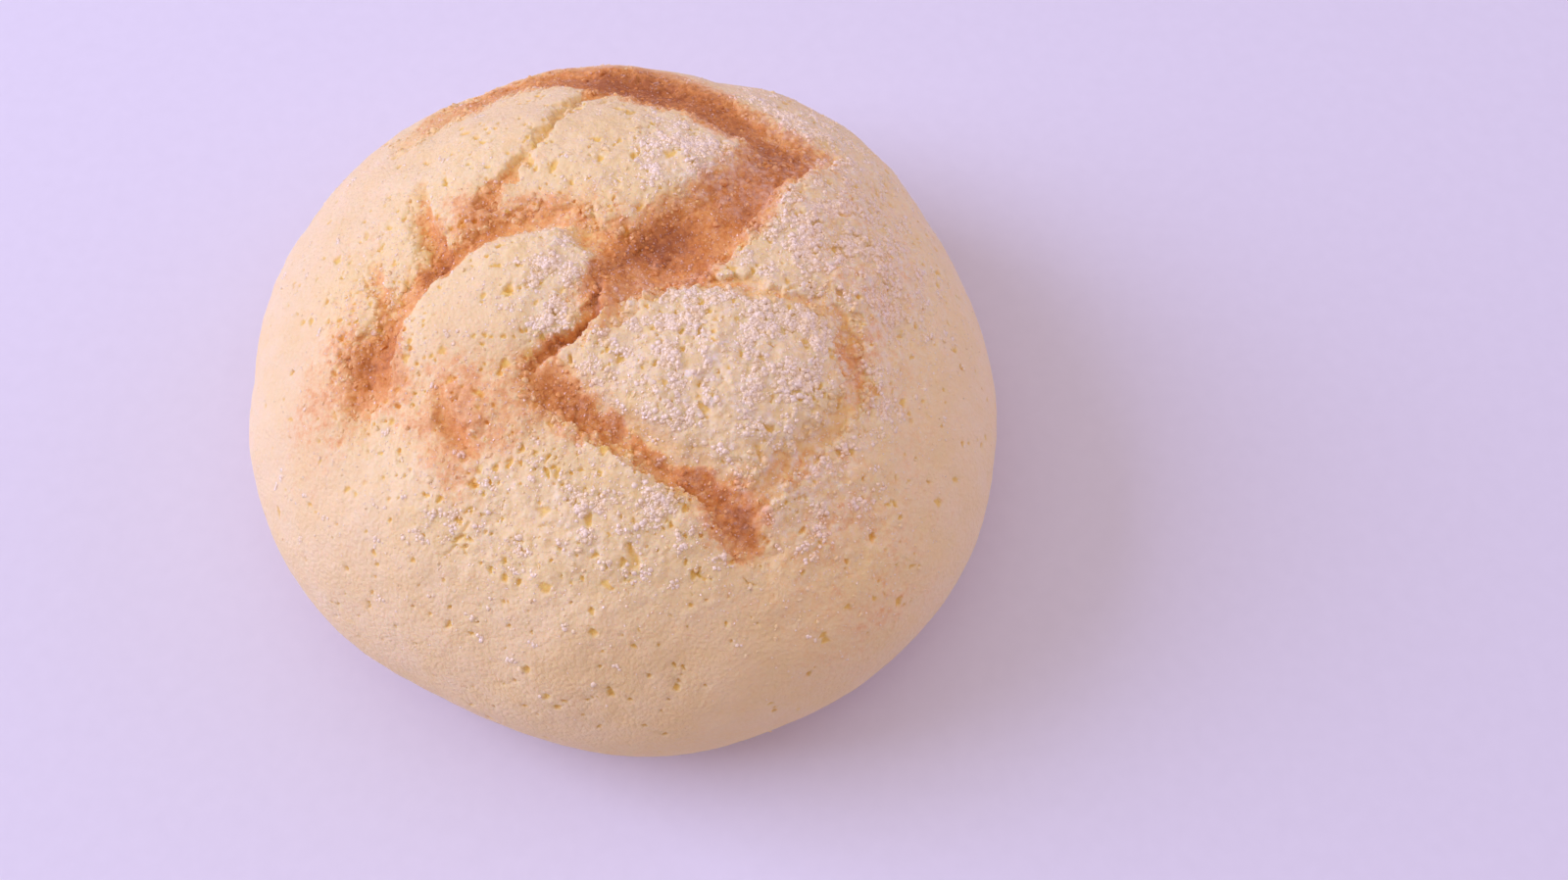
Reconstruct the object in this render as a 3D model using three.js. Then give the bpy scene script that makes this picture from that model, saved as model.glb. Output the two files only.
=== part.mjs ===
// A melon pan: a round sweet bun baked under a layer of pale cookie dough.
// The crown has cracked into a few raised pads with broad browned valleys between them, and the side
// is one smooth wall that tucks in to a flat underside.
// Millimetres, +Z up. The origin is the middle of the underside.

import * as THREE from "three";
import { mergeVertices } from "three/addons/utils/BufferGeometryUtils.js";

// Driving dimensions
const MEAN_RADIUS = 60.9;
const WIDEST_HEIGHT = 20;
const CROWN_HEIGHT = 55;
const UNDERSIDE_DROP = 27; // depth of the lower curve below the widest level, cut off by the flat underside
const UNDERSIDE_FULLNESS = 2.5; // exponent of the lower curve: 2 is an ellipse, more is fuller
const FACE_DIVISIONS = 20; // each face of the icosahedron is divided into (20 + 1)² triangles
const CROWN_CROWDING = 0.3; // how far the surface points crowd towards the crown, from 0 to 0.5

// Places on the crown are hundredths of the mean radius, measured in plan from the middle of the bun.
const PLAN_UNIT = MEAN_RADIUS / 100;

// The outline is a circle with a few broad swells and flats: where (degrees), how much (mm), how wide (degrees).
const OUTLINE_SWELLS = [
  { at: -34, by: 1.9, spread: 26 },
  { at: 150, by: 0.9, spread: 22 },
  { at: -114, by: -3.2, spread: 22 },
  { at: 22, by: -1.6, spread: 18 },
  { at: 78, by: -2.1, spread: 13 },
];

// Raised pads of the cookie layer: plan place, half-lengths, turn of the long one (degrees), rise (mm).
const PADS = [
  { at: [-27, 45], half: [24, 15], turn: 55, rise: 1.4 },
  { at: [10, 36], half: [28, 20], turn: -10, rise: 2.2 },
  { at: [-27, -3], half: [24, 18], turn: 20, rise: 2.4 },
  { at: [25, -23], half: [30, 24], turn: -15, rise: 3.0 },
  { at: [58, 16], half: [20, 28], turn: 20, rise: 2.2 },
  { at: [-18, -60], half: [34, 20], turn: -15, rise: 1.2 },
];

// Valleys between the pads: a smooth route in plan, its half-width and its depth (mm).
const VALLEYS = [
  { route: [[-46, 72], [-21, 77], [1, 70], [24, 62], [43, 50], [52, 44]], halfWidth: 5.0, depth: 2.2 },
  { route: [[52, 44], [40, 30], [24, 14], [9, 7], [1, -7]], halfWidth: 5.5, depth: 3.6 },
  { route: [[5, 8], [-7, 17], [-25, 23], [-38, 14]], halfWidth: 4.0, depth: 3.2 },
  { route: [[-5, 62], [-9, 51], [-14, 44], [-25, 28]], halfWidth: 3.0, depth: 2.6 },
  { route: [[-38, 14], [-45, 4], [-54, -9], [-56, -18]], halfWidth: 3.4, depth: 2.8 },
  { route: [[-1, 5], [-4, -9], [-6, -14], [-16, -22]], halfWidth: 3.0, depth: 3.4 },
  { route: [[-17, -23], [-7, -32], [3, -39], [13, -44], [31, -52]], halfWidth: 3.4, depth: 3.6 },
  { route: [[-37, -25], [-36, -31], [-33, -36], [-37, -47]], halfWidth: 3.6, depth: 1.8 },
  { route: [[34, -50], [48, -42], [55, -30], [57, -15], [55, -2]], halfWidth: 2.8, depth: 1.6 },
  { route: [[55, -2], [43, -2], [25, -1]], halfWidth: 2.4, depth: 1.4 },
];

const RELIEF_FADE_LEVEL = 0.3; // the relief fades out below this share of the dome's rise
const SAMPLES_PER_VALLEY = 32;
const TAPERED_SHARE = 0.18; // share of a valley's length over which each end runs out
const MEETING_SHARPNESS = 4; // how nearly the deepest of several valleys is the only one that counts

// Radius of the widest outline towards an angle in degrees.
function outlineRadius(angle) {
  const swell = OUTLINE_SWELLS.reduce((sum, { at, by, spread }) => {
    const away = ((angle - at + 540) % 360) - 180;
    return sum + by * Math.exp(-((away / spread) ** 2));
  }, 0);
  return MEAN_RADIUS + swell;
}

// The smooth bun under its relief: a half-ellipsoid over a fuller lower curve.
function smoothBun(direction) {
  const angle = THREE.MathUtils.radToDeg(Math.atan2(direction.y, direction.x));
  const outline = outlineRadius(angle);
  const level = direction.z;
  if (level >= 0) {
    const rise = CROWN_HEIGHT - WIDEST_HEIGHT;
    return new THREE.Vector3(direction.x * outline, direction.y * outline, WIDEST_HEIGHT + rise * level);
  }
  const reach = (1 - (-level) ** UNDERSIDE_FULLNESS) ** (1 / UNDERSIDE_FULLNESS);
  const across = Math.max(Math.hypot(direction.x, direction.y), 1e-9);
  const spread = (outline * reach) / across;
  return new THREE.Vector3(direction.x * spread, direction.y * spread, WIDEST_HEIGHT + UNDERSIDE_DROP * level);
}

// Outward direction of the smooth upper half at one of its points.
function upperNormal(point) {
  const rise = CROWN_HEIGHT - WIDEST_HEIGHT;
  return new THREE.Vector3(
    point.x / MEAN_RADIUS ** 2,
    point.y / MEAN_RADIUS ** 2,
    (point.z - WIDEST_HEIGHT) / rise ** 2,
  ).normalize();
}

// A valley's route as plan points in millimetres, each with how much of the full depth it has.
function sampleValley({ route, halfWidth, depth }) {
  const curve = new THREE.SplineCurve(
    route.map(([x, y]) => new THREE.Vector2(x, y).multiplyScalar(PLAN_UNIT)),
  );
  const samples = curve.getSpacedPoints(SAMPLES_PER_VALLEY).map((place, index) => {
    const along = index / SAMPLES_PER_VALLEY;
    const fromEnd = Math.min(along, 1 - along);
    return { place, share: THREE.MathUtils.smoothstep(fromEnd, -TAPERED_SHARE, TAPERED_SHARE) };
  });
  return { samples, halfWidth, depth };
}

const sampledValleys = VALLEYS.map(sampleValley);

// Depth that the valleys take from the crown at a plan point. Where valleys meet, the deepest one
// leads, with a soft change from one to the next.
function valleyDepth(place) {
  const depths = sampledValleys.map(({ samples, halfWidth, depth }) => {
    const shares = samples.map((sample) => {
      const away = place.distanceTo(sample.place) / halfWidth;
      return sample.share * Math.exp(-(away ** 2));
    });
    return depth * Math.max(...shares);
  });
  const total = depths.reduce((sum, depth) => sum + depth ** MEETING_SHARPNESS, 0);
  return total ** (1 / MEETING_SHARPNESS);
}

// Height that the pads add to the crown at a plan point.
function padRise(place) {
  return PADS.reduce((sum, { at, half, turn, rise }) => {
    const away = place
      .clone()
      .sub(new THREE.Vector2(...at).multiplyScalar(PLAN_UNIT))
      .rotateAround(new THREE.Vector2(), THREE.MathUtils.degToRad(-turn));
    const u = away.x / (half[0] * PLAN_UNIT);
    const v = away.y / (half[1] * PLAN_UNIT);
    return sum + rise * Math.exp(-((u * u + v * v) ** 1.5));
  }, 0);
}

// The same direction leaned towards the crown, so that the crown's relief gets the finer surface.
function crowdTowardsCrown(direction) {
  const level = direction.z + CROWN_CROWDING * (1 - direction.z ** 2);
  const across = Math.max(Math.hypot(direction.x, direction.y), 1e-9);
  const stretch = Math.sqrt(Math.max(1 - level ** 2, 0)) / across;
  return new THREE.Vector3(direction.x * stretch, direction.y * stretch, level);
}

// One point of the finished surface, for a direction from the bun's middle.
function bunPoint(direction) {
  const point = smoothBun(direction);
  if (direction.z > 0) {
    const place = new THREE.Vector2(point.x, point.y);
    const relief = padRise(place) - valleyDepth(place);
    const fade = THREE.MathUtils.smoothstep(direction.z, 0, RELIEF_FADE_LEVEL);
    point.addScaledVector(upperNormal(point), relief * fade);
  }
  point.z = Math.max(point.z, 0);
  return point;
}

function makeBun() {
  const sphere = new THREE.IcosahedronGeometry(1, FACE_DIVISIONS);
  sphere.deleteAttribute("normal");
  sphere.deleteAttribute("uv");
  const geometry = mergeVertices(sphere, 1e-5);
  const positions = geometry.getAttribute("position");
  for (let i = 0; i < positions.count; i++) {
    const direction = new THREE.Vector3().fromBufferAttribute(positions, i).normalize();
    positions.setXYZ(i, ...bunPoint(crowdTowardsCrown(direction)).toArray());
  }
  geometry.computeBoundingBox();
  const middle = geometry.boundingBox.getCenter(new THREE.Vector3());
  geometry.translate(-middle.x, -middle.y, -geometry.boundingBox.min.z);
  geometry.computeVertexNormals();
  const crust = new THREE.MeshStandardMaterial({ color: 0xf0cfa4, roughness: 0.85, metalness: 0 });
  const bun = new THREE.Mesh(geometry, crust);
  bun.name = "bun";
  return bun;
}

const melonPan = new THREE.Group();
melonPan.add(makeBun());

export default melonPan;
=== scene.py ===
import math

import bpy
import numpy as np
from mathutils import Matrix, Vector
from mathutils.kdtree import KDTree


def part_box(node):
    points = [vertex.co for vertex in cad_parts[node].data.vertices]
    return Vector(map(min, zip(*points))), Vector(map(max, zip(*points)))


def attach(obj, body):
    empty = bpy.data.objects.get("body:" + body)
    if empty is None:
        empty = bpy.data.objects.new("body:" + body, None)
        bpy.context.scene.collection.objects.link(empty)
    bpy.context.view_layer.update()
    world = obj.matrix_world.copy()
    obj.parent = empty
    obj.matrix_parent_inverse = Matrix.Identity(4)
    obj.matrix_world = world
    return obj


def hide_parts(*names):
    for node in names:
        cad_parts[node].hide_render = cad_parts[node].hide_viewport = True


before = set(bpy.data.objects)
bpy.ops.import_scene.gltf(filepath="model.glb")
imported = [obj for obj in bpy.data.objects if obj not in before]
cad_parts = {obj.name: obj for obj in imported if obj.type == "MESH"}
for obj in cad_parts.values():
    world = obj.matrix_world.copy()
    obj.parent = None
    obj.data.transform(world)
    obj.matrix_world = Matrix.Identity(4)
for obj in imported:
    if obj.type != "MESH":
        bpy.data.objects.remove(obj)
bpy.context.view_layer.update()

# A melon pan: a round sweet bun under a layer of pale cookie dough that has cracked into raised pads with
# browned valleys between them. The CAD solid "bun" gives the size, and this script replaces it with a fine
# skin of the same form (pores, fine cracks and crumbly edges included), sugar crystals and loose crumbs.

# ---------------------------------------------------------------------------------------------------------
# Sizes, in metres, from the CAD box
# ---------------------------------------------------------------------------------------------------------
LOW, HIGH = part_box("bun")
RADIUS = 0.4989 * (HIGH.x - LOW.x)  # mean radius of the widest level
WIDEST = 0.352 * (HIGH.z - LOW.z)  # height of the widest level
CROWN = 0.967 * (HIGH.z - LOW.z)  # height of the crown without its pads
DROP = 1.35 * WIDEST  # depth of the lower curve, cut off by the flat underside
FULLNESS = 2.5  # exponent of the lower curve: 2 is an ellipse, more is fuller

MM = 0.001
CRUMB, GRAIN = 1.7 * MM, 1.0 * MM  # widths of the crust's crumbs and of the finer grains between them
UNIT = RADIUS / 100  # places on the crown are hundredths of the radius, in plan from the bun's middle

GRID = 235  # divisions of each edge of the icosahedron
CROWDING = 0.33  # how far the skin's points crowd towards the crown, 0 to 0.5
SKIN_TRIANGLES = 198000
HEM = 0.09 * CROWN  # height at which the cookie crust ends above the bare underside
TOAST = 0.3  # how brown the crust is at its hem
LUMPS = [  # length (mm), height (mm) where the crust is smooth, and how much more where it is rough
    (10, 0.34, 0.25),
    (4.5, 0.12, 0.3),
    (2.1, 0.05, 0.2),
]

PORES = 1150  # small angular holes
PORE_LENGTHS, PORE_DEPTHS = (0.4, 2.3), (0.2, 0.45)  # least and greatest, in mm
SUGAR_CLUSTERS, SUGAR_CRYSTALS = 2200, 6500
SPARKLES = 2600  # how many of the crystals have sharp edges and stand at any tilt; the others lie flat
FINE_SUGAR = 20000
CRUMBS = 2300
SHARP_SIZES = (0.35, 0.65)  # smallest and largest, in mm, of the sharp crystals
SOFT_SIZES = (0.4, 0.8)  # of the crystals that lie flat
FINE_SIZES = (0.3, 0.55)  # of the fine sugar
CRUMB_SIZES = (0.4, 1.5)  # of the crumbs
DEEP = (0.6, 0.85)  # least and greatest share of its size that a grain is sunk into the crust
SHALLOW = (0.55, 0.68)  # the same for the crystals that lie flat, as shares of their width
FLATNESS = 0.5  # thickness of the crystals that lie flat, as a share of their width

BUTTER = ((0.94, 0.745, 0.36), (0.96, 0.785, 0.43))  # the pale crust is mottled between these two
BAKED = [  # by how much browning tints the pale crust, from none to the most
    (0.0, (1.0, 1.0, 1.0)),
    (0.18, (0.98, 0.88, 0.80)),
    (0.36, (0.93, 0.67, 0.51)),
    (0.65, (0.75, 0.42, 0.23)),
    (1.0, (0.45, 0.205, 0.115)),
]
SMOOTH_TINT = (0.955, 0.935, 0.915)  # tints of the crust where it is smooth,
CREASE_SHADE_TINT = (0.97, 0.90, 0.55)  # in the creases between its grains (painted shade there),
VALLEY_TINT = (0.99, 0.86, 0.62)  # on the floors of the valleys
PORE_TINT = (0.95, 0.84, 0.36)  # and in its holes
FROST = (0.97, 0.88, 0.74)  # sugar melted onto the crust
UNDERSIDE = ((0.62, 0.38, 0.15), (0.78, 0.54, 0.25))  # the bare bread, mottled between these two
SUGAR_WHITE = (0.99, 0.91, 0.80)
FLOOR_GREYS = ((0.75, 0.75, 0.75), (0.79, 0.79, 0.79))

LIGHTS = [  # name, place from the bun's middle (mean radii), width (m), power (W), colour
    ("window", (-23, 2.5, 14), 1.1, 31.0, (0.55, 0.555, 1.0)),
    ("ceiling", (0, 0, 25), 2.5, 11.0, (1.0, 0.97, 0.70)),
    ("reflector", (22, 6, 7), 1.4, 10.5, (0.45, 0.46, 1.0)),
]
SKY, SKY_STRENGTH = (0.97, 0.60, 1.0), 0.338
CAMERA_PLACE = (0.43, -1.806, 4.14)  # mean radii
CAMERA_TILT = 23.53  # degrees from straight down
LENS, SENSOR = 35.46, 36  # mm

SWELLS = [  # the outline's broad swells and flats: where (degrees), how much (mm), how wide (degrees)
    (-34, 1.9, 26),
    (150, 0.9, 22),
    (-114, -3.2, 22),
    (22, -1.6, 18),
    (78, -2.1, 13),
]

PADS = [  # raised pads, and dips: place, half-lengths, turn of the long one (degrees), rise (mm)
    ((-27, 45), (24, 15), 55, 1.6),
    ((7, 37), (27, 20), -10, 2.8),
    ((-27, -3), (24, 18), 20, 2.9),
    ((28, -23), (31, 24), -15, 3.6),
    ((51, 16), (24, 28), 20, 3.0),
    ((-18, -60), (34, 20), -15, 1.2),
    ((-26, -29), (11, 7), -20, 1.5),
    ((0, -6), (9, 3), 70, 1.3),
    ((-37, 18), (5, 9), -15, 0.6),
    ((77, 8), (18, 50), 0, -1.3),
    ((-58, -27), (10, 14), 0, -1.1),
]


def valley(knots, wall, jag, blush):
    """A valley between pads. A knot is its place, the half-widths of the floor to the left and the right,
    the depth (mm) and how brown it is. wall, jag and blush are pairs, for the left and the right: width of
    the wall, how crumbly its edge is (0 to 1) and how far from the floor the browning reaches."""
    return dict(knots=knots, wall=wall, jag=jag, blush=blush)


VALLEYS = [
    # the broad band along the far side
    valley([(-58, 58, 0.5, 0.5, 0.2, 0.1), (-49, 68, 1.5, 2, 0.6, 0.35), (-35, 77, 3, 3, 1.0, 0.55),
            (-18, 80, 3.5, 4, 1.3, 0.6), (0, 74, 4.5, 3.5, 1.5, 0.65), (18, 65, 4, 3, 1.5, 0.65),
            (31, 57, 4, 2, 1.5, 0.65), (42, 48, 2.5, 3, 1.5, 0.6)], (6, 8), (0.5, 0.8), (8, 10)),
    # the widest and brownest one, from the band to the middle
    valley([(52, 46, 1.5, 1.5, 0.7, 0.2), (44, 41, 3, 4, 1.5, 0.55), (37, 31, 3, 4, 2.0, 0.5),
            (27, 19, 6, 5, 2.2, 0.5), (18, 11, 7, 5, 2.3, 0.6), (9, 4, 5, 4, 2.0, 0.5),
            (3, -3, 3, 3, 1.3, 0.4), (0, -9, 1.5, 1.5, 0.5, 0.25)], (4, 11), (0.8, 0.5), (6, 13)),
    # the crease above the left pad
    valley([(6, 9, 1, 3, 1.6, 0.45), (-3, 12, 0.8, 3, 1.5, 0.25), (-11, 17.5, 0.6, 3, 1.3, 0.22),
            (-20, 17.5, 0.5, 2.5, 1.1, 0.3), (-29, 15.5, 0.5, 1, 1.1, 0.4), (-34, 12, 0.5, 0.8, 1.2, 0.5),
            (-38, 7, 0.8, 0.8, 1.3, 0.5)], (3, 5), (0.3, 0.8), (2, 7)),
    # the narrow crack between the two far pads
    valley([(-5, 66, 1, 1, 0.6, 0.4), (-11, 61, 0.6, 0.6, 1.2, 0.15), (-17, 47, 0.5, 0.5, 1.4, 0.05),
            (-20, 41, 0.5, 0.5, 1.4, 0.05), (-24, 34, 0.6, 1, 1.3, 0.2), (-29, 27, 1, 2, 0.8, 0.4)],
           (1.8, 3), (0.9, 0.7), (3, 5)),
    # the crack beside the flap at the crease's left end
    valley([(-47, 32, 0.4, 0.5, 0.4, 0.2), (-45.5, 25, 0.5, 0.6, 1.1, 0.3), (-43, 18, 0.6, 1, 1.7, 0.5),
            (-39, 11, 0.7, 1.2, 2.2, 0.65), (-41, 6, 0.8, 1.2, 1.6, 0.5)], (1.3, 7), (0.4, 0.6), (2, 5)),
    # the rough groove on the left
    valley([(-40, 9, 0.6, 0.8, 1.6, 0.45), (-43, 4, 0.4, 0.6, 2.2, 0.3), (-48, -2, 0.4, 0.6, 2.2, 0.28),
            (-52, -8, 0.6, 1.2, 2.4, 0.35), (-55, -15, 1, 2, 2.0, 0.25), (-56, -23, 1, 1.5, 1.1, 0.15)],
           (4, 11), (0.3, 0.6), (2, 7)),
    # the deep crack in the middle
    valley([(-2, 6, 0.5, 0.5, 0.8, 0.4), (-1, -3, 0.6, 0.6, 1.8, 0.6), (-3, -9, 0.8, 0.8, 2.8, 0.8),
            (-7, -13, 0.8, 0.8, 2.7, 0.8), (-12, -16, 0.6, 0.6, 1.9, 0.6), (-16, -21, 0.7, 0.7, 0.9, 0.4)],
           (1.5, 2), (0.5, 0.7), (1.5, 3)),
    # the groove in front of the largest pad
    valley([(-14, -23, 1, 1, 0.3, 0.2), (-9, -27, 1.5, 2, 1.0, 0.35), (-3, -31, 0.8, 1.2, 2.2, 0.5),
            (7, -38, 0.3, 0.3, 3.2, 0.55), (16, -43.5, 0.3, 0.3, 3.2, 0.55), (25, -47.5, 0.4, 0.5, 2.7, 0.65),
            (32, -53, 1.2, 1.5, 1.4, 0.5), (34, -59, 1, 1, 0.4, 0.2)], (8.5, 6), (0.05, 0.7), (2.5, 5)),
    # a short fold in the brown lump
    valley([(-37, -25, 0.3, 0.3, 0.2, 0.1), (-35.5, -30, 0.5, 0.4, 1.1, 0.1), (-32, -35, 0.4, 0.4, 1.1, 0.1),
            (-29, -39, 0.3, 0.3, 0.3, 0.1)], (2.5, 3.5), (0.1, 0.1), (4, 3)),
    # the shallow crumbly bounds of the largest pad
    valley([(34, -50, 1, 1.5, 0.5, 0.3), (42, -43, 1, 1, 0.7, 0.1), (50, -36, 0.8, 1, 0.8, 0.05),
            (56, -28, 0.8, 1, 0.7, 0.08), (59.5, -20, 0.8, 1, 1.0, 0.12), (58, -12, 0.8, 1, 1.2, 0.15),
            (58, -6, 0.8, 1, 1.0, 0.12), (52, -2, 0.6, 0.6, 0.5, 0.05)], (5, 4), (1.0, 1.0), (5, 5)),
    valley([(15, 1, 0.4, 0.5, 0.4, 0.3), (22, 2, 0.4, 0.5, 1.0, 0.35), (30, 1.5, 0.4, 0.5, 1.2, 0.3),
            (38, 0, 0.4, 0.5, 0.9, 0.2), (46, -2, 0.4, 0.5, 0.6, 0.12), (54, -4, 0.4, 0.5, 0.5, 0.1)],
           (1.3, 3.5), (0.7, 0.7), (2, 3)),
    # a small crack outside the left groove
    valley([(-59, 12, 0.3, 0.4, 0.3, 0.1), (-56, 5, 0.5, 0.6, 0.8, 0.2), (-55, -1, 0.3, 0.4, 0.5, 0.3)],
           (1.3, 3), (0.6, 0.6), (1, 2)),
]

BROWN_AND_SHADE_PATCHES = [  # browned areas, and a few of painted shade: place, half-lengths, turn of the long one (degrees), strength
    ((4, 75), (25, 11), -20, 0.8),
    ((33, 45), (9, 14), -40, 0.12),
    ((24, 58), (10, 6), -45, 0.5),
    ((44, 45), (7, 5), -45, 0.65),
    ((38, 36), (6, 9), -20, 0.3),
    ((15, 13), (9, 6), 25, 0.75),
    ((29, 25), (8, 7), 45, 0.4),
    ((3, 3), (5, 9), -20, 0.35),
    ((-56, -15), (8, 9), 20, 0.48),
    ((-52, -8), (4, 5), 20, 0.3),
    # partly a faint tan of the crust, partly painted shade in the hollow outside the left groove
    ((-62, -4), (14, 28), 0, 0.16),
    ((-71, -25), (12, 20), 0, 0.18),
    ((-28, -28), (27, 14), -6, 0.31),
    ((-8, -28), (9, 6), -45, 0.34),
    ((-34, -43), (6, 12), 15, 0.24),
    ((31, -53), (8, 8), 0, 0.4),
    ((34, -55), (3, 4), 20, 0.4),
    ((-34, 21), (8, 9), 20, 0.42),
    ((-12, 23), (18, 6), -5, 0.27),
    ((60, -12), (4, 10), 0, 0.08),
    # partly a faint tan, partly painted shade on the pad's slope turned from the window
    ((60, 20), (26, 36), 0, 0.14),
    # the next two: painted shade and painted warm bounce light on the right and lower right, the sides turned
    # from the window
    ((66, -30), (22, 40), 0, 0.1),
    ((50, -62), (34, 24), -35, 0.14),
]

ROUGH_PATCHES = [  # where the crust is granular
    ((27, -22), (38, 30), -15, 1.0),
    ((60, 15), (26, 38), 10, 1.0),
    ((12, 34), (30, 24), -10, 0.85),
    ((-10, 8), (20, 22), 0, 0.9),
    ((-38, 26), (22, 30), 0, 0.65),
    ((-58, -2), (16, 26), 0, 0.8),
    ((-32, -34), (30, 18), 0, 0.75),
    ((5, -56), (48, 19), 0, 0.85),
    ((50, -50), (22, 18), 0, 0.85),
    ((54, 55), (24, 18), -45, 0.7),
    ((-8, 74), (40, 14), -8, 0.5),
]

SUGAR_PATCHES = [  # where sugar lies thick
    ((29, -20), (32, 24), -15, 0.9),
    ((22, 38), (16, 13), -20, 1.0),
    ((-12, 4), (8, 16), 0, 0.75),
    ((58, 15), (22, 32), 10, 0.95),
    ((8, -56), (24, 9), 0, 0.45),
    ((48, -47), (13, 11), 0, 0.9),
    ((50, 60), (24, 10), -45, 0.7),
    ((-25, -50), (26, 14), 0, 0.25),
]

# what the crust's material reads at every point, each 0 to 1
SHARES = ("brown", "pit", "sugar", "rough", "grain", "seam", "bare", "floor")


# ---------------------------------------------------------------------------------------------------------
# Noise, the same on every run
# ---------------------------------------------------------------------------------------------------------
class SmoothNoise:
    """Gradient noise in space, about -1 to 1."""

    def __init__(self, seed):
        rng = np.random.default_rng(seed)
        self.shuffle = np.tile(rng.permutation(256), 2)
        slopes = rng.normal(size=(256, 3))
        self.slopes = slopes / np.linalg.norm(slopes, axis=1, keepdims=True)

    def at(self, points, wavelength):
        scaled = points / wavelength
        cell = np.floor(scaled).astype(np.int64)
        inside = scaled - cell
        ease = inside**3 * (inside * (inside * 6 - 15) + 10)
        total = np.zeros(len(points))
        for corner in np.ndindex(2, 2, 2):
            offset = np.array(corner)
            x, y, z = ((cell + offset) & 255).T
            index = self.shuffle[self.shuffle[self.shuffle[x] + y] + z]
            weight = np.prod(np.where(offset, ease, 1 - ease), axis=1)
            total += weight * np.einsum("ij,ij->i", self.slopes[index], inside - offset)
        return 1.6 * total


def grains(points, size, seed):
    """Cellular noise. For every point: the gap to the middle of its grain (m), how far it is inside the
    grain (0 on the seam between two grains) and that grain's own number, 0 to 1."""
    scaled = points / size
    cell = np.floor(scaled).astype(np.int64)
    least = np.full(len(points), 9.0)
    second = least.copy()
    to_middle = np.zeros_like(points)
    own = np.zeros(len(points))
    for offset in np.ndindex(3, 3, 3):
        neighbour = cell + np.array(offset) - 1
        mixed = neighbour @ np.array([73856093, 19349663, 83492791]) + 7919 * seed
        mixed = (mixed ^ (mixed >> 13)) * 1274126177
        mixed ^= mixed >> 16
        middle = np.stack([(mixed >> shift) & 1023 for shift in (2, 14, 26)], axis=1) / 1024
        gap = neighbour + middle - scaled
        square = np.einsum("ij,ij->i", gap, gap)
        closer = square < least
        second = np.where(closer, least, np.minimum(second, square))
        least = np.where(closer, square, least)
        to_middle[closer] = gap[closer]
        own[closer] = ((mixed[closer] >> 36) & 1023) / 1024
    return to_middle * size, np.sqrt(second) - np.sqrt(least), own


def smoothstep(value, start, end):
    share = np.clip((value - start) / (end - start), 0, 1)
    return share * share * (3 - 2 * share)


# ---------------------------------------------------------------------------------------------------------
# The smooth bun
# ---------------------------------------------------------------------------------------------------------
def geodesic_sphere(divisions):
    """Unit sphere of 20 * divisions² triangles: an icosahedron with divided faces."""
    golden = (1 + math.sqrt(5)) / 2
    ends = [(s, t * golden) for s in (-1, 1) for t in (-1, 1)]
    corners = np.array([p for s, t in ends for p in ((0, s, t), (s, t, 0), (t, 0, s))], float)
    gaps = np.linalg.norm(corners[:, None] - corners[None], axis=2)
    near = (gaps > 1e-6) & (gaps < 2.1)
    triples = [(a, b, c) for a in range(12) for b in range(a + 1, 12) for c in range(b + 1, 12)
               if near[a, b] and near[b, c] and near[a, c]]
    rows = [(i, j) for i in range(divisions + 1) for j in range(divisions + 1 - i)]
    place = {cell: n for n, cell in enumerate(rows)}
    share = np.array(rows) / divisions
    upright = [(place[i, j], place[i + 1, j], place[i, j + 1]) for i, j in rows if i + j < divisions]
    turned = [(place[i + 1, j], place[i + 1, j + 1], place[i, j + 1])
              for i, j in rows if i + j < divisions - 1]
    cells = np.array(upright + turned)
    points, faces = [], []
    for a, b, c in triples:
        if np.dot(np.cross(corners[b] - corners[a], corners[c] - corners[a]), corners[a]) < 0:
            b, c = c, b
        step_b = share[:, :1] * (corners[b] - corners[a])
        step_c = share[:, 1:] * (corners[c] - corners[a])
        faces.append(cells + len(rows) * len(points))
        points.append(corners[a] + step_b + step_c)
    points = np.concatenate(points)
    points /= np.linalg.norm(points, axis=1, keepdims=True)
    keys = np.round((points + 2) * 2**19).astype(np.int64) @ np.array([1, 2**21, 2**42])
    _, first, merged = np.unique(keys, return_index=True, return_inverse=True)
    return points[first], merged.reshape(-1)[np.concatenate(faces)]


def crowd(directions):
    """The same directions leaned towards the crown, where the fine relief is."""
    level = directions[:, 2] + CROWDING * (1 - directions[:, 2] ** 2)
    across = np.maximum(np.hypot(directions[:, 0], directions[:, 1]), 1e-9)
    stretch = np.sqrt(np.maximum(1 - level**2, 0)) / across
    return np.stack([directions[:, 0] * stretch, directions[:, 1] * stretch, level], axis=1)


def outline_radius(angle):
    """Radius of the widest level towards an angle in degrees."""
    away = [(angle - at + 540) % 360 - 180 for at, _, _ in SWELLS]
    swell = sum(by * np.exp(-((gap / spread) ** 2)) for gap, (_, by, spread) in zip(away, SWELLS))
    return RADIUS + swell * MM


def smooth_bun(directions):
    """Points of the bun without its relief: a half-ellipsoid over a fuller lower curve."""
    outline = outline_radius(np.degrees(np.arctan2(directions[:, 1], directions[:, 0])))
    level = directions[:, 2]
    above = level >= 0
    across = np.maximum(np.hypot(directions[:, 0], directions[:, 1]), 1e-9)
    below = np.maximum(1 - np.clip(-level, 0, 1) ** FULLNESS, 0) ** (1 / FULLNESS)
    reach = np.where(above, across, below)
    height = WIDEST + np.where(above, CROWN - WIDEST, DROP) * level
    spread = outline * reach / across
    return np.stack([directions[:, 0] * spread, directions[:, 1] * spread, height], axis=1)


def point_normals(points, faces):
    a, b, c = (points[faces[:, k]] for k in range(3))
    face_normals = np.cross(b - a, c - a)
    total = np.zeros_like(points)
    for axis in range(3):
        for k in range(3):
            total[:, axis] += np.bincount(faces[:, k], face_normals[:, axis], len(points))
    return total / np.maximum(np.linalg.norm(total, axis=1, keepdims=True), 1e-20)


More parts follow.
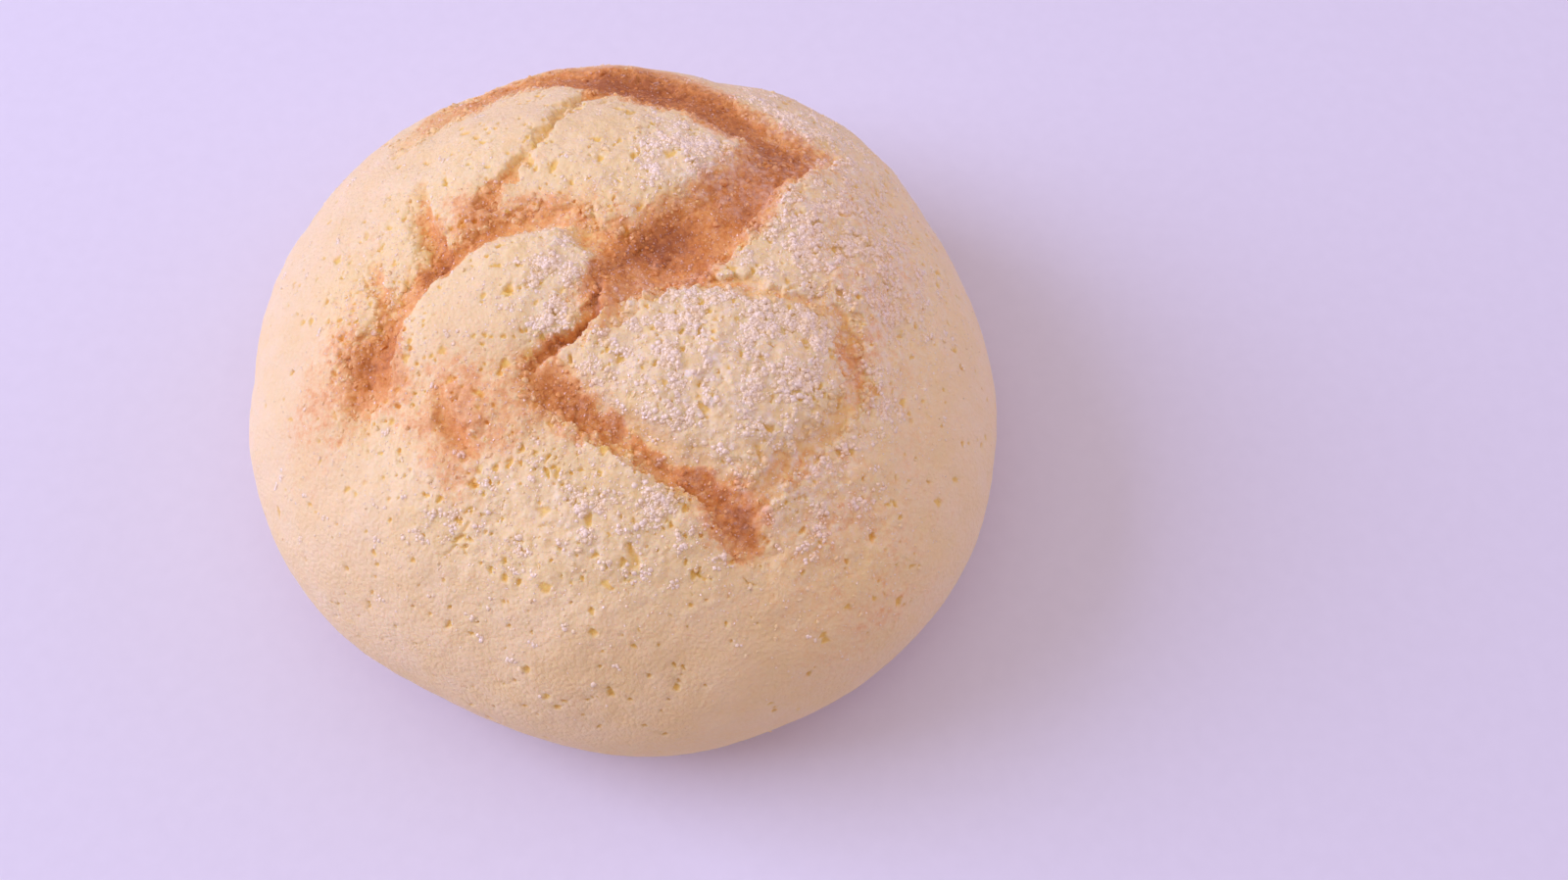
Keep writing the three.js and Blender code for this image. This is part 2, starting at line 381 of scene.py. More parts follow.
# ---------------------------------------------------------------------------------------------------------
# Pads, valleys and patches
# ---------------------------------------------------------------------------------------------------------
def smooth_route(knots, per_span=16):
    """A Catmull-Rom curve through the knots, as closely spaced rows."""
    rows = np.array([knots[0], *knots, knots[-1]], float)
    share = np.linspace(0, 1, per_span, endpoint=False)[:, None]
    spans = []
    for a, b, c, d in zip(rows, rows[1:], rows[2:], rows[3:]):
        spans.append(0.5 * (2 * b + (c - a) * share + (2 * a - 5 * b + 4 * c - d) * share**2
                            + (3 * b - a - 3 * c + d) * share**3))
    return np.concatenate(spans + [rows[-1:]])


def beside_route(places, line):
    """Signed distance from the route (left is positive) and the row of the nearest point."""
    heading = np.gradient(line[:, :2], axis=0)
    heading /= np.linalg.norm(heading, axis=1, keepdims=True)
    nearest = np.zeros(len(places), int)
    least = np.full(len(places), np.inf)
    for index, (x, y) in enumerate(line[:, :2]):
        gap = (places[:, 0] - x) ** 2 + (places[:, 1] - y) ** 2
        closer = gap < least
        least[closer] = gap[closer]
        nearest[closer] = index
    gap = places - line[nearest, :2]
    side = heading[nearest, 0] * gap[:, 1] - heading[nearest, 1] * gap[:, 0]
    at_end = (nearest == 0) | (nearest == len(line) - 1)
    distance = np.where(at_end, np.sqrt(least), np.abs(side))
    return np.where(side >= 0, distance, -distance), line[nearest]


def press_valley(v, places, to_crumb, blotch, depths, floors, browns, edges):
    """Adds one valley to the totals of the places that it reaches."""
    line = smooth_route(v["knots"])
    reach = line[:, 2:4].max() + max(v["wall"]) + max(v["blush"]) + 6
    start, end = line[:, :2].min(axis=0) - reach, line[:, :2].max(axis=0) + reach
    near = np.flatnonzero(np.all((places > start) & (places < end), axis=1))
    side, _ = beside_route(places[near], line)
    jag = np.where(side >= 0, *v["jag"])
    side, row = beside_route(places[near] + jag[:, None] * to_crumb[near], line)
    left = side >= 0
    half = np.where(left, row[:, 2], row[:, 3])
    wall, blush = (np.where(left, *v[key]) for key in ("wall", "blush"))
    away = np.abs(side)
    into = 1 - smoothstep(away, half, half + wall)
    brown = row[:, 5] * (1 - smoothstep(away + 2.2 * blotch[near], half, half + blush))
    depths[near] += (row[:, 4] * MM * into) ** 4
    floors[near] = np.maximum(floors[near], into)
    browns[near] = 1 - (1 - browns[near]) * (1 - brown)
    edges[near] = np.maximum(edges[near], 4 * into * (1 - into) * jag)


def sugar_clumps(points):
    """Where sugar lies thick, above 0, and thin, below 0."""
    return SmoothNoise(31).at(points, 4 * MM)


def patch_share(places, patch, power=3.0):
    """The patch's strength in its middle, fading softly to 0 past its half-lengths."""
    at, half, turn, strength = patch
    angle = math.radians(turn)
    gap = places - np.array(at)
    along = (gap[:, 0] * math.cos(angle) + gap[:, 1] * math.sin(angle)) / half[0]
    beside = (gap[:, 1] * math.cos(angle) - gap[:, 0] * math.sin(angle)) / half[1]
    return strength * np.exp(-((along**2 + beside**2) ** (power / 2)))


def cover(shares):
    """Joins overlapping shares so that none passes 1."""
    rest = 1
    for share in shares:
        rest = rest * (1 - np.clip(share, 0, 1))
    return 1 - rest


# ---------------------------------------------------------------------------------------------------------
# Pores
# ---------------------------------------------------------------------------------------------------------
def scatter_pores(rng, count):
    """Small angular holes: place, turn, depth (m), and the directions and distances (m) of their sides."""
    pores = []
    while len(pores) < count:
        radius = 100 * math.sqrt(rng.random())
        angle = rng.uniform(0, 2 * math.pi)
        if rng.random() > (1 if radius < 70 else 0.35):
            continue
        length = MM * float(np.clip(rng.lognormal(-0.25, 0.45), *PORE_LENGTHS))
        slim = rng.uniform(0.35, 0.7)
        turn = angle + rng.normal(0, 0.5)
        sides = np.linspace(0, 2 * math.pi, 5, endpoint=False) + rng.uniform(-0.45, 0.45, 5)
        reach = 0.5 * length / np.sqrt(np.cos(sides) ** 2 + (np.sin(sides) / slim) ** 2)
        reach = reach * rng.uniform(0.6, 1.35, 5)
        place = np.array([radius * math.cos(angle), radius * math.sin(angle)])
        pores.append((place, turn, rng.uniform(*PORE_DEPTHS) * MM, sides, reach))
    return pores


def on_bun(place):
    """The smooth bun's point above a place in plan."""
    across = place * UNIT
    radius = outline_radius(math.degrees(math.atan2(across[1], across[0])))
    rise = math.sqrt(max(1 - float(across @ across) / radius**2, 0))
    return np.array([across[0], across[1], WIDEST + (CROWN - WIDEST) * rise])


def press_pores(pores, smooth, normals):
    """Depth (m) and share of pit that the pores give to every point."""
    tree = KDTree(len(smooth))
    for index in np.flatnonzero(smooth[:, 2] > 0.8 * WIDEST):
        tree.insert(smooth[index], int(index))
    tree.balance()
    depth, pit = np.zeros(len(smooth)), np.zeros(len(smooth))
    for place, turn, deep, sides, reach in pores:
        centre = on_bun(place)
        near = np.array([index for _, index, _ in tree.find_range(centre, 1.3 * reach.max() + 0.3 * MM)])
        if not len(near):
            continue
        normal = normals[near].mean(axis=0)
        normal /= np.linalg.norm(normal)
        heading = np.array([math.cos(turn), math.sin(turn), 0.0])
        heading -= normal * (heading @ normal)
        heading /= np.linalg.norm(heading)
        beside = np.cross(normal, heading)
        gap = smooth[near] - centre
        flat = np.stack([gap @ heading, gap @ beside], axis=1)
        away = np.max((flat @ np.stack([np.cos(sides), np.sin(sides)])) / reach, axis=1)
        share = 1 - smoothstep(away, 0.6, 1.15)
        depth[near] = np.maximum(depth[near], deep * share)
        pit[near] = np.maximum(pit[near], share)
    return depth, pit


# ---------------------------------------------------------------------------------------------------------
# The skin
# ---------------------------------------------------------------------------------------------------------
def shape_crown(points):
    """For points of the smooth bun's upper part: the relief (m) and the shares that the materials read."""
    wobble = [SmoothNoise(11), SmoothNoise(12)]
    plan = points[:, :2] / UNIT
    places = plan.copy()
    for axis, noise in enumerate(wobble):
        places[:, axis] += 1.3 * noise.at(points, 9 * MM) + 0.6 * noise.at(points, 3.5 * MM)
    to_crumb, _, crumb_own = grains(points, CRUMB, 1)
    to_grain, grain_inside, grain_own = grains(points, GRAIN, 2)
    crumb_dome, grain_dome = (
        1 - smoothstep(np.linalg.norm(gap, axis=1) / size, 0.05, 0.75)
        for gap, size in ((to_crumb, CRUMB), (to_grain, GRAIN)))
    blush_noise = SmoothNoise(15)
    blotch = blush_noise.at(points, 6 * MM) + 0.6 * blush_noise.at(points, 2 * MM)

    depths, floors, browns, edges = (np.zeros(len(points)) for _ in range(4))
    for v in VALLEYS:
        press_valley(v, places, to_crumb[:, :2] / UNIT, blotch, depths, floors, browns, edges)
    depth = depths**0.25 * (1 + 0.12 * blotch)
    warped = places + 2.5 * np.stack([blotch, -blotch], axis=1)
    # the brown share: browning of the crust, plus the few patches of painted shade in the table
    brown = cover([browns] + [patch_share(warped, patch) for patch in BROWN_AND_SHADE_PATCHES])
    rough = np.clip(cover([patch_share(warped, patch) for patch in ROUGH_PATCHES]) + 0.5 * edges, 0, 1)
    sugar = cover([patch_share(warped, patch) for patch in SUGAR_PATCHES])

    pads = sum(patch_share(places, pad, 2.4) for pad in PADS) * MM
    lump_noise = SmoothNoise(14)
    lumps = 0
    for length, smooth_height, rough_height in LUMPS:
        lumps = lumps + MM * (smooth_height + rough_height * rough) * lump_noise.at(points, length * MM)
    granular = rough * (1 - 0.45 * floors)
    crumbs = crumb_dome * (0.3 + 0.7 * crumb_own) * (0.3 * granular + 0.5 * edges)
    grit = granular * grain_dome * (0.08 + 0.2 * grain_own)
    sugared = sugar * smoothstep(sugar_clumps(points), -0.4, 0.6) * (1 - floors)
    sugared = sugared * grain_dome * (0.12 + 0.16 * grain_own)
    height = pads + lumps - depth + (crumbs + grit + sugared) * MM

    # fine cracks along the seams of wide crooked cells, and ragged holes, both only in rough crust
    crack_noise = SmoothNoise(16)
    bent = points + MM * np.stack([SmoothNoise(17 + k).at(points, 2.6 * MM) for k in range(3)], axis=1)
    _, crack_inside, _ = grains(bent, 4.6 * MM, 4)
    where = crack_noise.at(points, 8 * MM) + 0.5 * crack_noise.at(points, 3 * MM)
    wide = 0.065 * smoothstep(where, 0.4, 1.0) * smoothstep(rough, 0.25, 0.7) * (1 - floors)
    crack = smoothstep(wide - crack_inside, -0.02, 0.05) * (wide > 0.01)
    ragged = SmoothNoise(21).at(points, 1.9 * MM) + 0.5 * SmoothNoise(22).at(points, 0.9 * MM)
    hole = smoothstep(ragged - 0.15 * where, 0.64, 0.84) * smoothstep(rough, 0.1, 0.6) * (1 - 0.6 * floors)
    pit = np.maximum(crack, hole)
    height -= 0.5 * MM * pit
    return height, dict(brown=brown, floor=floors, edge=edges, rough=rough, sugar=sugar, pit=pit,
                        grain=grain_own, seam=1 - smoothstep(grain_inside, 0, 0.4))


def make_skin():
    """The skin's points and faces, and for every point the shares that the materials read."""
    directions, faces = geodesic_sphere(GRID)
    smooth = smooth_bun(crowd(directions))
    normals = point_normals(smooth, faces)
    level = np.clip((smooth[:, 2] - WIDEST) / (CROWN - WIDEST), 0, 1)
    fade = smoothstep(level, 0, 0.3)
    upper = np.flatnonzero(level > 0)
    height, shares = shape_crown(smooth[upper])
    skin = {key: np.zeros(len(smooth)) for key in shares}
    for key, values in shares.items():
        skin[key][upper] = values * fade[upper]
    relief = np.zeros(len(smooth))
    relief[upper] = height * fade[upper]

    depth, pit = press_pores(scatter_pores(np.random.default_rng(5), PORES), smooth, normals)
    skin["pit"] = np.maximum(skin["pit"], pit * (1 - 0.7 * skin["floor"]))
    relief -= 0.95 * depth * (1 - 0.7 * skin["floor"])
    ripples, swells = SmoothNoise(18).at(smooth, 2.8 * MM), SmoothNoise(24).at(smooth, 17 * MM)
    relief += MM * (0.09 * ripples + 0.4 * swells) * smoothstep(smooth[:, 2], 0, WIDEST)

    wavy = smooth[:, 2] + 0.9 * MM * SmoothNoise(19).at(smooth, 16 * MM)
    toasted = TOAST * (1 - smoothstep(wavy, 0.1 * WIDEST, 0.75 * WIDEST))
    skin["brown"] = np.maximum(skin["brown"], toasted)
    skin["bare"] = 1 - smoothstep(wavy, HEM - 0.4 * MM, HEM + 0.4 * MM)
    points = smooth + normals * (relief - 0.55 * MM * skin["bare"] * (smooth[:, 2] > 0))[:, None]
    points[:, 2] = np.maximum(points[:, 2], 0)
    skin.update(points=points, faces=faces, level=level)
    return skin


# ---------------------------------------------------------------------------------------------------------
# Blender objects
# ---------------------------------------------------------------------------------------------------------
def add_object(name, points, faces, attributes, material, smooth=True):
    mesh = bpy.data.meshes.new(name)
    mesh.vertices.add(len(points))
    mesh.vertices.foreach_set("co", np.asarray(points, np.float32).ravel())
    mesh.loops.add(faces.size)
    mesh.loops.foreach_set("vertex_index", faces.ravel().astype(np.int32))
    mesh.polygons.add(len(faces))
    width = faces.shape[1]
    mesh.polygons.foreach_set("loop_start", np.arange(0, faces.size, width, dtype=np.int32))
    mesh.polygons.foreach_set("use_smooth", np.broadcast_to(smooth, len(faces)).copy())
    for key, values in attributes.items():
        layer = mesh.attributes.new(key, "FLOAT", "POINT")
        layer.data.foreach_set("value", np.asarray(values, np.float32))
    mesh.update(calc_edges=True)
    mesh.validate()
    mesh.materials.append(material)
    piece = bpy.data.objects.new(name, mesh)
    bpy.context.scene.collection.objects.link(piece)
    return piece


def thin_out(piece, triangles):
    """Collapses the flattest parts of the mesh until it has that many triangles."""
    modifier = piece.modifiers.new("thin", "DECIMATE")
    modifier.ratio = triangles / len(piece.data.polygons)
    bpy.context.view_layer.update()
    shaped = piece.evaluated_get(bpy.context.evaluated_depsgraph_get())
    thinned = bpy.data.meshes.new_from_object(shaped)
    piece.modifiers.clear()
    piece.data = thinned


# ---------------------------------------------------------------------------------------------------------
# Materials
# ---------------------------------------------------------------------------------------------------------
class Nodes:
    """Short calls for building a material's node tree."""

    def __init__(self, name):
        self.material = bpy.data.materials.new(name)
        self.material.use_nodes = True
        self.tree = self.material.node_tree
        self.shader = self.tree.nodes["Principled BSDF"]

    def link(self, source, target):
        self.tree.links.new(source, target)

    def fill(self, socket, value):
        if isinstance(value, bpy.types.NodeSocket):
            self.link(value, socket)
        else:
            socket.default_value = value

    def attribute(self, name):
        node = self.tree.nodes.new("ShaderNodeAttribute")
        node.attribute_name = name
        return node.outputs["Fac"]

    def noise(self, wavelength, detail=2.0, roughness=0.5):
        place = self.tree.nodes.new("ShaderNodeTexCoord")
        node = self.tree.nodes.new("ShaderNodeTexNoise")
        self.link(place.outputs["Object"], node.inputs["Vector"])
        node.inputs["Scale"].default_value = 1 / wavelength
        node.inputs["Detail"].default_value = detail
        node.inputs["Roughness"].default_value = roughness
        return node.outputs["Fac"]

    def cells(self, wavelength):
        """0 in the middle of rounded lumps that long, about 1 in the gaps between them."""
        place = self.tree.nodes.new("ShaderNodeTexCoord")
        node = self.tree.nodes.new("ShaderNodeTexVoronoi")
        self.link(place.outputs["Object"], node.inputs["Vector"])
        node.inputs["Scale"].default_value = 1 / wavelength
        return node.outputs["Distance"]

    def math(self, operation, first, second, third=0.0):
        node = self.tree.nodes.new("ShaderNodeMath")
        node.operation = operation
        for socket, value in zip(node.inputs, (first, second, third)):
            self.fill(socket, value)
        return node.outputs[0]

    def remap(self, value, low, high, to_low=0.0, to_high=1.0):
        node = self.tree.nodes.new("ShaderNodeMapRange")
        self.fill(node.inputs["Value"], value)
        for key, number in zip(("From Min", "From Max", "To Min", "To Max"), (low, high, to_low, to_high)):
            node.inputs[key].default_value = number
        return node.outputs["Result"]

    def blend(self, share, first, second, kind="MIX"):
        node = self.tree.nodes.new("ShaderNodeMix")
        node.data_type = "RGBA"
        node.blend_type = kind
        self.fill(node.inputs["Factor"], share)
        self.fill(node.inputs["A"], (*first, 1) if isinstance(first, tuple) else first)
        self.fill(node.inputs["B"], (*second, 1) if isinstance(second, tuple) else second)
        return node.outputs["Result"]

    def ramp(self, value, stops):
        node = self.tree.nodes.new("ShaderNodeValToRGB")
        self.fill(node.inputs["Fac"], value)
        elements = node.color_ramp.elements
        while len(elements) < len(stops):
            elements.new(0.5)
        for element, (position, colour) in zip(elements, stops):
            element.position = position
            element.color = (*colour, 1)
        return node.outputs["Color"]

    def bump(self, height, distance):
        node = self.tree.nodes.new("ShaderNodeBump")
        node.inputs["Strength"].default_value = 1.0
        node.inputs["Distance"].default_value = distance
        self.link(height, node.inputs["Height"])
        return node.outputs["Normal"]


def crust_colour(nodes, brown):
    """The pale cookie crust and its browning, mottled; the brown share also carries a few patches of painted
    shade.
    """
    blotch = nodes.noise(7 * MM, 3, 0.55)
    speckle = nodes.noise(0.8 * MM, 4, 0.7)
    pale = nodes.blend(nodes.remap(blotch, 0.35, 0.65), *BUTTER)
    toned = nodes.math("MULTIPLY_ADD", nodes.math("SUBTRACT", speckle, 0.5), 0.9, brown)
    toned = nodes.math("MULTIPLY_ADD", nodes.math("SUBTRACT", blotch, 0.5), 0.7, toned)
    toned = nodes.math("MULTIPLY", toned, nodes.remap(brown, 0.0, 0.26))
    return nodes.blend(1.0, pale, nodes.ramp(toned, BAKED), "MULTIPLY")


def soften(nodes, weight, depth):
    """Light passes into the dough, red the farthest."""
    nodes.shader.inputs["Subsurface Weight"].default_value = weight
    nodes.shader.inputs["Subsurface Radius"].default_value = (1.0, 0.7, 0.4)
    nodes.shader.inputs["Subsurface Scale"].default_value = depth


def crust_material(name, softness):
    """The cookie crust, read from the shares in SHARES. softness is the weight of the light inside it."""
    nodes = Nodes(name)
    brown, pit, sugar, rough, grain, seam, bare, floor = (nodes.attribute(key) for key in SHARES)
    lump = nodes.cells(0.8 * MM)
    fine = nodes.noise(0.5 * MM, 2, 0.6)
    colour = crust_colour(nodes, nodes.math("MULTIPLY_ADD", nodes.math("SUBTRACT", grain, 0.5), -0.15, brown))
    hollow = nodes.math("MAXIMUM", seam, nodes.remap(lump, 0.25, 0.75))
    # painted shade: the seams between grains and the gaps between lumps are darkened and yellowed as if shade
    # fell in them, more where the crust is rough
    painted_crease_shade = nodes.math("MULTIPLY", hollow, nodes.remap(rough, 0, 1, 0.12, 0.4))
    colour = nodes.blend(nodes.remap(rough, 0.0, 0.6, 1.0, 0.0), colour, SMOOTH_TINT, "MULTIPLY")
    colour = nodes.blend(painted_crease_shade, colour, CREASE_SHADE_TINT, "MULTIPLY")
    colour = nodes.blend(nodes.math("MULTIPLY", floor, 0.7), colour, VALLEY_TINT, "MULTIPLY")
    colour = nodes.blend(nodes.math("MULTIPLY", pit, 0.9), colour, PORE_TINT, "MULTIPLY")
    frost = nodes.math("MULTIPLY", sugar, nodes.remap(nodes.noise(1.3 * MM, 3, 0.6), 0.4, 0.66))
    frost = nodes.math("MULTIPLY", frost, nodes.remap(grain, 0.2, 1.0, 0.2, 0.8))
    colour = nodes.blend(frost, colour, FROST)
    colour = nodes.blend(bare, colour, nodes.blend(nodes.noise(0.8 * MM, 3), *UNDERSIDE))
    nodes.link(colour, nodes.shader.inputs["Base Color"])

    nodes.shader.inputs["Roughness"].default_value = 0.62
    nodes.shader.inputs["Specular IOR Level"].default_value = 0.3
    soften(nodes, softness, 1.2 * MM)
    height = nodes.math("MULTIPLY_ADD", lump, -0.7, fine)
    height = nodes.math("MULTIPLY", height, nodes.remap(rough, 0, 1, 0.6, 0.4))
    nodes.link(nodes.bump(height, 0.3 * MM), nodes.shader.inputs["Normal"])
    return nodes.material


def sugar_material():
    """Sugar shows the crust under it, paler; the palest spots are painted glints."""
    nodes = Nodes("sugar_crystals")
    # painted highlight: noise makes some crystals whiter, standing in for glints
    share = nodes.remap(nodes.noise(1.1 * MM, 2), 0.35, 0.68, 0.15, 0.54)
    share = nodes.math("MULTIPLY", share, nodes.remap(nodes.attribute("brown"), 0, 0.8, 1.0, 0.5))
    colour = nodes.blend(share, crust_colour(nodes, nodes.attribute("brown")), SUGAR_WHITE)
    nodes.link(colour, nodes.shader.inputs["Base Color"])
    nodes.shader.inputs["Roughness"].default_value = 0.22
    nodes.shader.inputs["Specular IOR Level"].default_value = 0.5
    return nodes.material


def floor_material():
    nodes = Nodes("pale_floor")
    nodes.link(nodes.blend(nodes.noise(3 * MM, 3), *FLOOR_GREYS), nodes.shader.inputs["Base Color"])
    nodes.shader.inputs["Roughness"].default_value = 0.9
    nodes.shader.inputs["Specular IOR Level"].default_value = 0.1
    return nodes.material


# ---------------------------------------------------------------------------------------------------------
# Sugar and crumbs
# ---------------------------------------------------------------------------------------------------------
CUBE_CORNERS = np.array([(x, y, z) for x in (-1, 1) for y in (-1, 1) for z in (-1, 1)], float)
SIX_WAYS = np.array([(1, 0, 0), (-1, 0, 0), (0, 1, 0), (0, -1, 0), (0, 0, 1), (0, 0, -1)], float)


def crystal_shape():
    """A cuboid with a raised middle on each face: 14 points, 24 triangles."""
    points = np.concatenate([CUBE_CORNERS * 0.8, SIX_WAYS * 1.12])
    faces = []
    for index, middle in enumerate(SIX_WAYS):
        axis = int(np.argmax(np.abs(middle)))
        ring = [c for c in range(8) if CUBE_CORNERS[c, axis] == middle[axis]]
        u, v = (axis + 1) % 3, (axis + 2) % 3
        ring.sort(key=lambda c: math.atan2(CUBE_CORNERS[c, v], CUBE_CORNERS[c, u]) * middle[axis])
        faces += [(ring[k], ring[(k + 1) % 4], 8 + index) for k in range(4)]
    return points, np.array(faces)


def random_turns(rng, count):
    """Random rotation matrices."""
    q = rng.normal(size=(count, 4))
    w, x, y, z = (q / np.linalg.norm(q, axis=1, keepdims=True)).T
    rows = [1 - 2 * (y * y + z * z), 2 * (x * y - z * w), 2 * (x * z + y * w),
            2 * (x * y + z * w), 1 - 2 * (x * x + z * z), 2 * (y * z - x * w),
            2 * (x * z - y * w), 2 * (y * z + x * w), 1 - 2 * (x * x + y * y)]
    return np.stack(rows, axis=1).reshape(count, 3, 3)


def lay(copies, faces, spots, normals, sizes, sink):
    """Joins shaped copies into one mesh, each at its spot, sunk into the skin and above the floor."""
    lift = sizes * (0.5 - sink)
    copies = copies + (spots + normals * lift[:, None])[:, None]
    copies[:, :, 2] += np.maximum(0, -copies[:, :, 2].min(axis=1))[:, None]
    joined = faces[None] + copies.shape[1] * np.arange(len(copies))[:, None, None]
    return copies.reshape(-1, 3), joined.reshape(-1, 3)


def turns_on(rng, normals, tilt):
    """Rotation matrices that stand each copy on its normal, at a random turn and about that much tilted."""
    up = normals + tilt[:, None] * rng.normal(size=normals.shape)
    up /= np.linalg.norm(up, axis=1, keepdims=True)
    along = np.cross(up, rng.normal(size=normals.shape))
    along /= np.linalg.norm(along, axis=1, keepdims=True)
    return np.stack([along, np.cross(up, along), up], axis=2)


def crystals(rng, sizes, normals, tilt, thickness):
    """Copies of the crystal, each stretched, dented and laid on its normal."""
    points, faces = crystal_shape()
    count = len(sizes)
    stretch = sizes[:, None] * rng.uniform(0.9, 1.1, (count, 3))
    stretch[:, 2] *= thickness
    dents = 1 + rng.uniform(-0.1, 0.1, (count, len(points), 1))
    copies = points[None] * dents * stretch[:, None] / 2
    return np.einsum("nij,npj->npi", turns_on(rng, normals, tilt), copies), faces


def broken_crumbs(rng, sizes):
    """Copies of a ball, each cut flat by a few random planes, stretched and turned."""
    points, faces = geodesic_sphere(2)
    count = len(sizes)
    copies = np.repeat(points[None], count, axis=0)
    for _ in range(5):
        normal = rng.normal(size=(count, 3))
        normal /= np.linalg.norm(normal, axis=1, keepdims=True)
        past = np.einsum("npj,nj->np", copies, normal) - rng.uniform(0.3, 0.8, (count, 1))
        copies -= np.maximum(past, 0)[:, :, None] * normal[:, None]
    copies *= (sizes[:, None] * rng.uniform(0.7, 1.4, (count, 3)))[:, None] / 2
    return np.einsum("nij,npj->npi", random_turns(rng, count), copies), faces


def pick(rng, weights, count):
    """That many different points, the likelier the greater their weights."""
    return rng.choice(len(weights), size=count, replace=False, p=weights / weights.sum())


def sugar_weights(skin):
    """How likely sugar is to lie at each point of the skin."""
    clumps = smoothstep(sugar_clumps(skin["points"]), -0.3, 0.7)
    weights = skin["sugar"] ** 1.3 * clumps**1.5 * (1 - skin["pit"])
    weights = weights * (1 - smoothstep(skin["floor"], 0.05, 0.5))
    return weights * (1 - 0.95 * smoothstep(skin["brown"], 0.1, 0.4))


def make_sugar(skin, normals, material):
    """Crystals in clusters, and a few by themselves on the upper part of the bun."""
    rng = np.random.default_rng(21)
    middles = pick(rng, sugar_weights(skin) + 0.0012 * (skin["level"] > 0.35), SUGAR_CLUSTERS)
    members = rng.permutation(np.repeat(middles, rng.integers(1, 7, SUGAR_CLUSTERS)))[:SUGAR_CRYSTALS]
    spread = rng.normal(0, 0.42 * MM, (len(members), 3))
    tree = KDTree(len(skin["points"]))
    for index in np.flatnonzero(skin["level"] > 0.2):
        tree.insert(skin["points"][index], int(index))
    tree.balance()
    spots = np.array([tree.find(place)[1] for place in skin["points"][members] + spread])
    count = len(spots)
    sharp = np.arange(count) >= count - SPARKLES
    sizes = MM * np.where(sharp, rng.uniform(*SHARP_SIZES, count), rng.uniform(*SOFT_SIZES, count))
    sink = np.where(sharp, rng.uniform(*DEEP, count), rng.uniform(*SHALLOW, count))
    tilt, thickness = np.where(sharp, 1.0, 0.2), np.where(sharp, 1.0, FLATNESS)
    copies, faces = crystals(rng, sizes, normals[spots], tilt, thickness)
    smooth = np.repeat(~sharp, len(faces))
    points, faces = lay(copies, faces, skin["points"][spots], normals[spots], sizes, sink)
    shares = {"brown": np.repeat(skin["brown"][spots], copies.shape[1])}
    return add_object("sugar", points, faces, shares, material, smooth)


def make_fine_sugar(skin, normals, material):
    """Small eight-sided grains, one by one: thick in the sugary areas and thin over the rest."""
    rng = np.random.default_rng(23)
    weights = sugar_weights(skin) + 0.07 * skin["rough"]
    weights = weights + 0.0015 * (skin["level"] > 0.25) + 0.035 * skin["brown"]
    spots = pick(rng, weights * (1 - skin["pit"]), FINE_SUGAR)
    sizes = MM * rng.uniform(*FINE_SIZES, FINE_SUGAR)
    ring = [(0, 2), (2, 1), (1, 3), (3, 0)]
    faces = np.array([(a, b, 4) for a, b in ring] + [(b, a, 5) for a, b in ring])
    stretch = sizes[:, None] * rng.uniform(0.8, 1.3, (FINE_SUGAR, 3))
    copies = np.einsum("nij,npj->npi", random_turns(rng, FINE_SUGAR), SIX_WAYS[None] * stretch[:, None] / 2)
    sink = rng.uniform(*DEEP, FINE_SUGAR)
    points, faces = lay(copies, faces, skin["points"][spots], normals[spots], sizes, sink)
    shares = {"brown": np.repeat(skin["brown"][spots], copies.shape[1])}
    return add_object("fine_sugar", points, faces, shares, material, smooth=False)


def make_crumbs(skin, normals, material):
    """Crumbs of the crust, most of them along the valleys' broken edges."""
    rng = np.random.default_rng(22)
    weights = skin["edge"] ** 2 + 0.04 * skin["rough"] + 0.1 * skin["brown"]
    spots = pick(rng, weights, CRUMBS)
    sizes = MM * np.clip(rng.lognormal(-0.35, 0.3, CRUMBS), *CRUMB_SIZES)
    copies, faces = broken_crumbs(rng, sizes)
    sink = rng.uniform(*DEEP, CRUMBS)
    points, faces = lay(copies, faces, skin["points"][spots], normals[spots], sizes, sink)
    repeat = copies.shape[1]
    shares = {key: np.repeat(skin[key][spots], repeat) for key in SHARES}
    shares["brown"] = shares["brown"] * np.repeat(rng.uniform(0.5, 1.1, CRUMBS), repeat)
    for key in ("pit", "seam", "bare"):
        shares[key] = np.zeros(len(points))
    return add_object("crumbs", points, faces, shares, material)


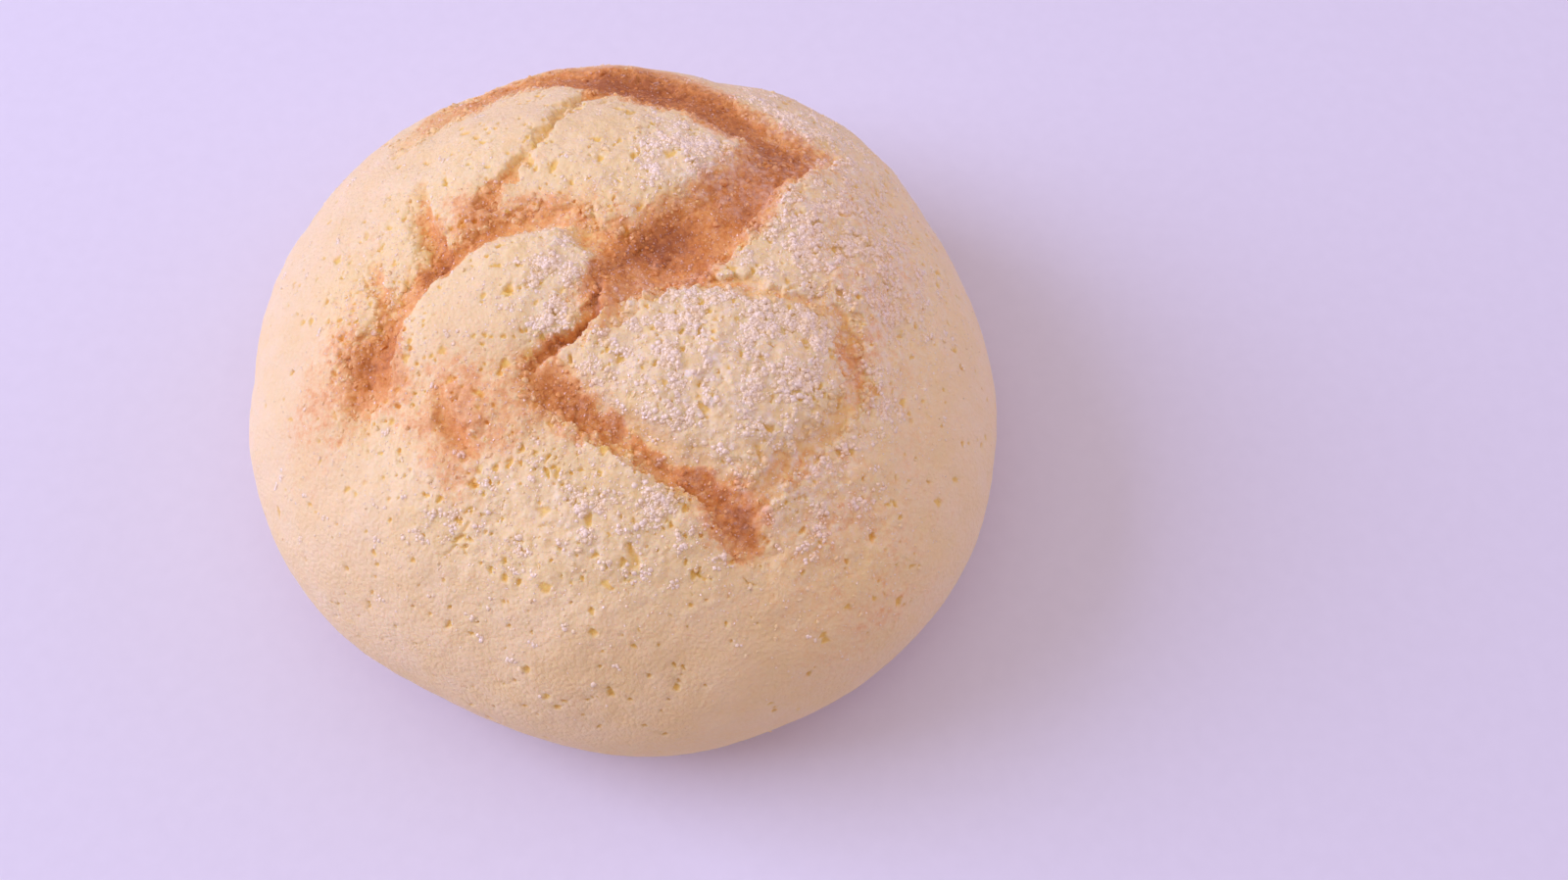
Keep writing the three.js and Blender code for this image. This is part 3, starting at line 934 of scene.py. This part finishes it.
# ---------------------------------------------------------------------------------------------------------
# Stage
# ---------------------------------------------------------------------------------------------------------
def add_area(name, location, width, power, colour, target):
    lamp = bpy.data.lights.new(name, "AREA")
    lamp.shape = "SQUARE"
    lamp.size = width
    lamp.energy = power
    lamp.color = colour
    light = bpy.data.objects.new(name, lamp)
    light.location = location
    light.rotation_euler = (target - light.location).to_track_quat("-Z", "Y").to_euler()
    bpy.context.scene.collection.objects.link(light)


def make_stage():
    scene = bpy.context.scene
    scene.view_settings.view_transform = "Standard"
    side = 40 * RADIUS
    corners = np.array([(-side, -side, 0), (side, -side, 0), (side, side, 0), (-side, side, 0)])
    floor = add_object("floor", corners, np.array([(0, 1, 2), (0, 2, 3)]), {}, floor_material(), smooth=False)

    world = bpy.data.worlds.new("studio")
    world.use_nodes = True
    world.node_tree.nodes["Background"].inputs["Color"].default_value = (*SKY, 1)
    world.node_tree.nodes["Background"].inputs["Strength"].default_value = SKY_STRENGTH
    scene.world = world

    middle = (LOW + HIGH) / 2
    middle.z = 0.5 * HIGH.z
    for name, away, width, power, colour in LIGHTS:
        add_area(name, middle + RADIUS * Vector(away), width, power, colour, middle)

    camera = bpy.data.objects.new("camera", bpy.data.cameras.new("camera"))
    camera.data.lens = LENS
    camera.data.sensor_width = SENSOR
    camera.data.clip_start = 0.01
    camera.location = [part * RADIUS for part in CAMERA_PLACE]
    camera.rotation_euler = (math.radians(CAMERA_TILT), 0, 0)
    scene.collection.objects.link(camera)
    scene.camera = camera


def declare(piece):
    """Tells the frame that the piece rides on the bun's body and stands in for its solid."""
    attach(piece, "root")
    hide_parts("bun")


make_stage()
skin = make_skin()
skin_normals = point_normals(skin["points"], skin["faces"])
crust = crust_material("cookie_crust", 0.4)
bun = add_object("crust", skin["points"], skin["faces"], {key: skin[key] for key in SHARES}, crust)
thin_out(bun, SKIN_TRIANGLES)
sugar_look = sugar_material()
sugar = make_sugar(skin, skin_normals, sugar_look)
fine_sugar = make_fine_sugar(skin, skin_normals, sugar_look)
crumbs = make_crumbs(skin, skin_normals, crust_material("cookie_crumb", 0.0))
declare(bun)
declare(sugar)
declare(fine_sugar)
declare(crumbs)
